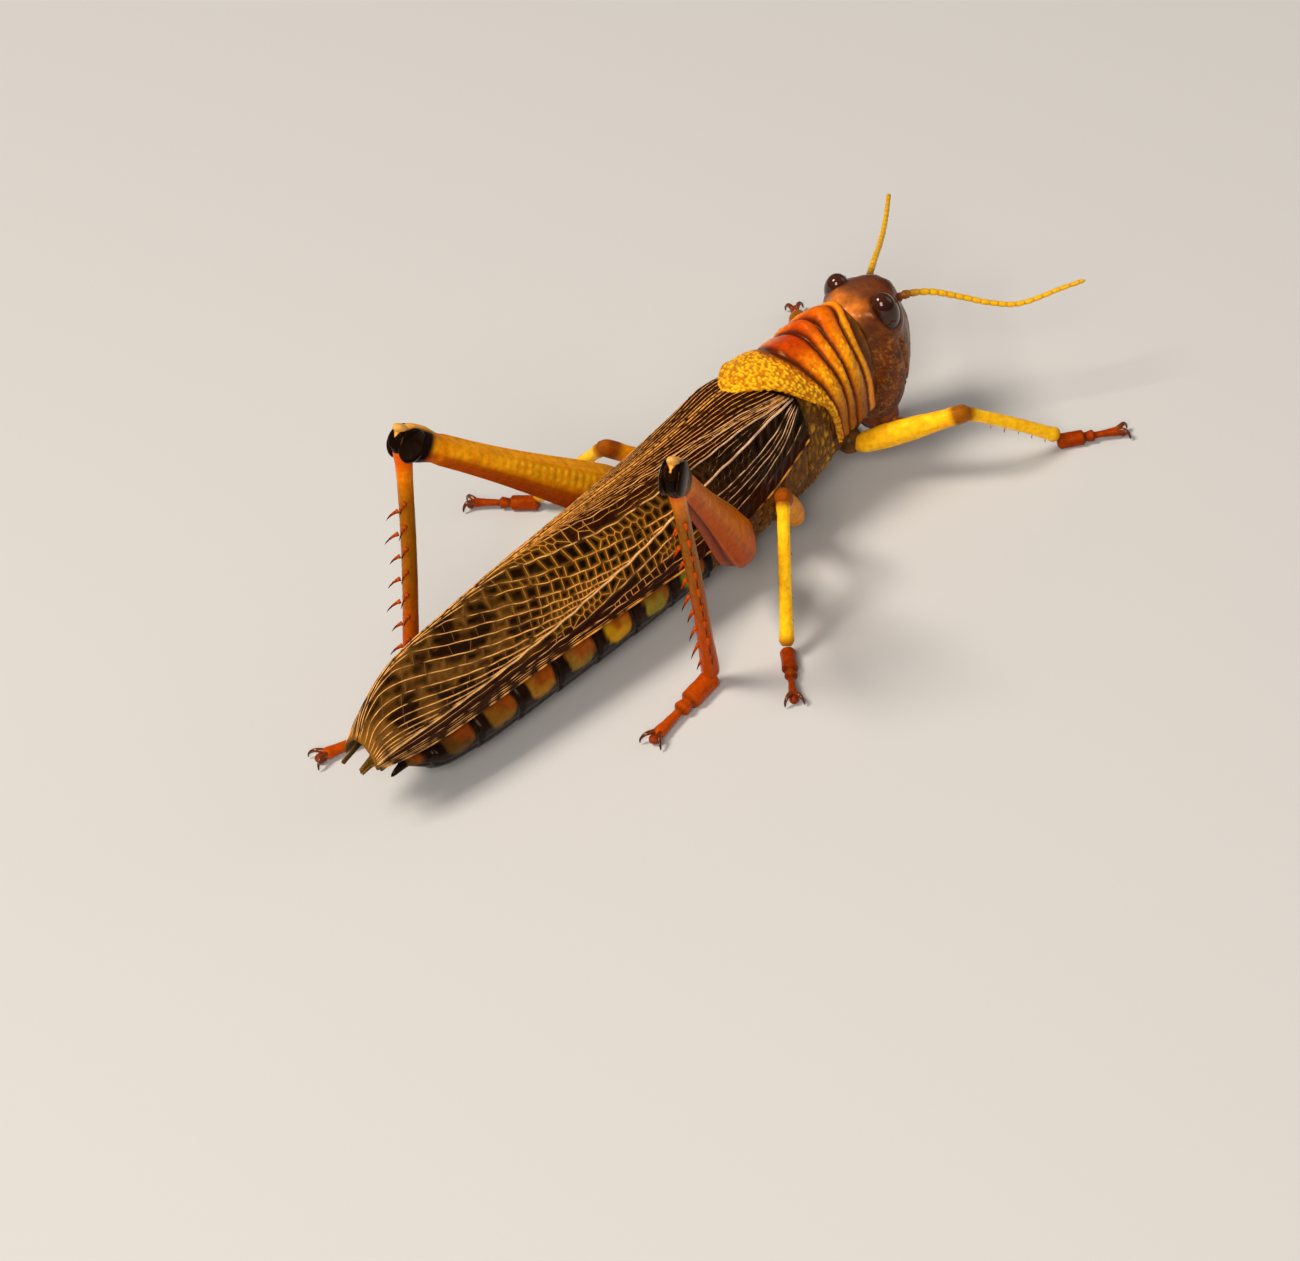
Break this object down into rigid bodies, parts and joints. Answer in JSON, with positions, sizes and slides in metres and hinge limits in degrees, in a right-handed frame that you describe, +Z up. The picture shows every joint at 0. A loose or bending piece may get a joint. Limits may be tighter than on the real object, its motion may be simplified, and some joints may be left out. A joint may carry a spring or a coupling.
{
  "type": "giant lubber grasshopper, still display model",
  "caption": "Life-size still model of a giant lubber grasshopper at rest with its wings folded, standing on its soles",
  "frame": {"origin": "on the floor under the middle of the insect's bounding box", "axes": "+X forward along the body, +Y to the insect's left, +Z up from the floor"},
  "size_m": [0.1174, 0.0636, 0.0428],
  "materials": {
    "head": "dark reddish-brown cuticle, satin",
    "eye": "dark brown faceted eye, glossy",
    "antenna": "yellow-brown cuticle, satin",
    "mouthparts": "orange-brown horny cuticle, satin",
    "pronotum": "granular orange to golden shield, satin",
    "abdomen": "near-black cuticle with yellow-orange flank spots, satin",
    "forewing": "leathery brown-black fore wing with yellow veins",
    "hindwing": "thin folded membrane, brown",
    "thorax": "rough golden-brown cuticle, matte",
    "coxa": "brown cuticle, satin",
    "hind_femur": "orange cuticle with a black knee, satin",
    "femur": "yellow-orange cuticle, satin",
    "hind_tibia": "orange-red spined cuticle, glossy",
    "tibia": "bright yellow cuticle, glossy",
    "tarsus": "pinkish red-brown cuticle, black claws"
  },
  "bodies": {
    "root": {"head": "head", "eye_left": "eye", "antenna_left": "antenna", "eye_right": "eye", "antenna_right": "antenna", "mouthparts": "mouthparts", "pronotum": "pronotum", "abdomen": "abdomen", "forewing_left": "forewing", "hindwing_left": "hindwing", "forewing_right": "forewing", "hindwing_right": "hindwing", "thorax": "thorax", "coxa_front_left": "coxa", "femur_front_left": "femur", "tibia_front_left": "tibia", "tarsus_front_left": "tarsus", "coxa_front_right": "coxa", "femur_front_right": "femur", "tibia_front_right": "tibia", "tarsus_front_right": "tarsus", "coxa_middle_left": "coxa", "femur_middle_left": "femur", "tibia_middle_left": "tibia", "tarsus_middle_left": "tarsus", "coxa_middle_right": "coxa", "femur_middle_right": "femur", "tibia_middle_right": "tibia", "tarsus_middle_right": "tarsus", "coxa_hind_left": "coxa", "femur_hind_left": "hind_femur", "tibia_hind_left": "hind_tibia", "tarsus_hind_left": "tarsus", "coxa_hind_right": "coxa", "femur_hind_right": "hind_femur", "tibia_hind_right": "hind_tibia", "tarsus_hind_right": "tarsus"}
  },
  "joints": []
}
